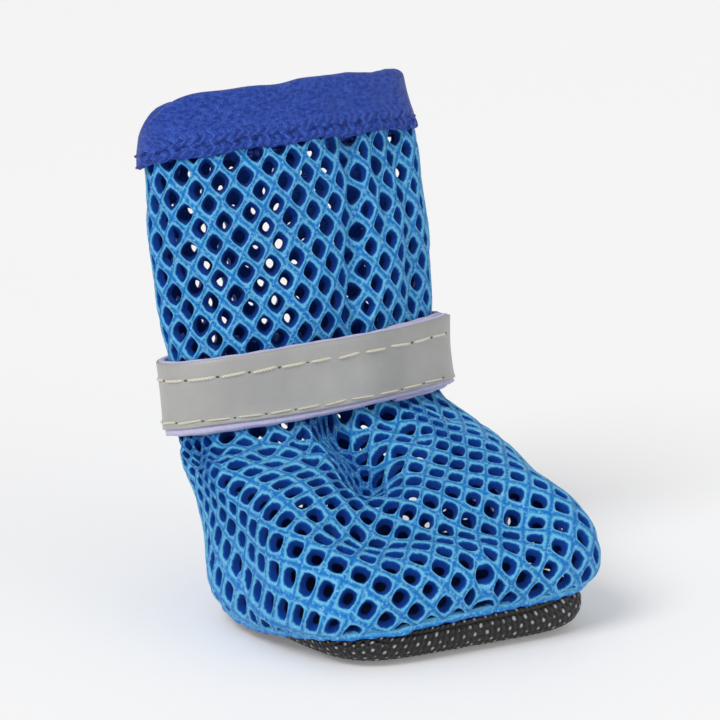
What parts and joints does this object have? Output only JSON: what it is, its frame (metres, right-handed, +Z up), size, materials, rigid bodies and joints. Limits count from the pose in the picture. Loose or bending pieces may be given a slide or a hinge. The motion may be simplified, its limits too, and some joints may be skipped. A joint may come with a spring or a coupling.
{
  "type": "dog boot",
  "caption": "Soft dog boot with an open-mesh upper, a ribbon-bound collar, a reflective hook-and-loop strap round the ankle and a turned-up black woven sole.",
  "frame": {"origin": "on the ground, under the middle of the sole", "axes": "+X towards the toe, +Y towards the boot's own left, +Z up"},
  "size_m": [0.0741, 0.0564, 0.0839],
  "materials": {
    "outsole": "black coarse woven cloth with a rubbery coating",
    "mesh": "azure warp-knit mesh with large round holes",
    "ribbon": "royal blue folded ribbon with a fine rib",
    "backing": "pale lavender hook-and-loop tape",
    "tape": "silver-grey reflective tape with pale stitches"
  },
  "bodies": {
    "root": {"outsole": "outsole", "upper": "mesh", "collar_binding": "ribbon", "strap_backing": "backing", "reflective_tape": "tape"}
  },
  "joints": []
}
